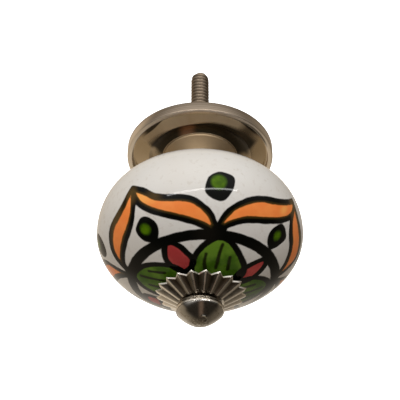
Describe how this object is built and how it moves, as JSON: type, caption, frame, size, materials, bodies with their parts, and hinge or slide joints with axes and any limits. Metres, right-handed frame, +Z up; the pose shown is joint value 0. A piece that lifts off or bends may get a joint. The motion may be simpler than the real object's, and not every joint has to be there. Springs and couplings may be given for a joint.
{
  "type": "cabinet knob",
  "caption": "Round painted ceramic cabinet knob on a turned nickel base, with a fluted petal washer, a conical finial nut and a threaded rod that passes through the door.",
  "frame": {"origin": "centre of the base's mounting face, on the rod's axis", "axes": "as fixed on an upright door: +Y back along the rod into the door, -Y forward to the finial, +Z up"},
  "size_m": [0.04, 0.0635, 0.04],
  "materials": {
    "rod_steel": "dull nickel-plated rolled thread",
    "nut_steel": "plain zinc-plated steel",
    "base_nickel": "nickel plated, polished, with a blackened groove and a satin turned rim",
    "painted_glaze": "glossy off-white glaze with a hand-painted flower ornament in black, orange, green and red",
    "aged_nickel": "nickel plated, darkened in the folds",
    "finial_nickel": "nickel plated, polished, with a small scar near the point"
  },
  "bodies": {
    "root": {"threaded_rod": "rod_steel", "lock_nut": "nut_steel", "base": "base_nickel", "ceramic_knob": "painted_glaze", "petal_washer": "aged_nickel", "finial_nut": "finial_nickel"}
  },
  "joints": []
}
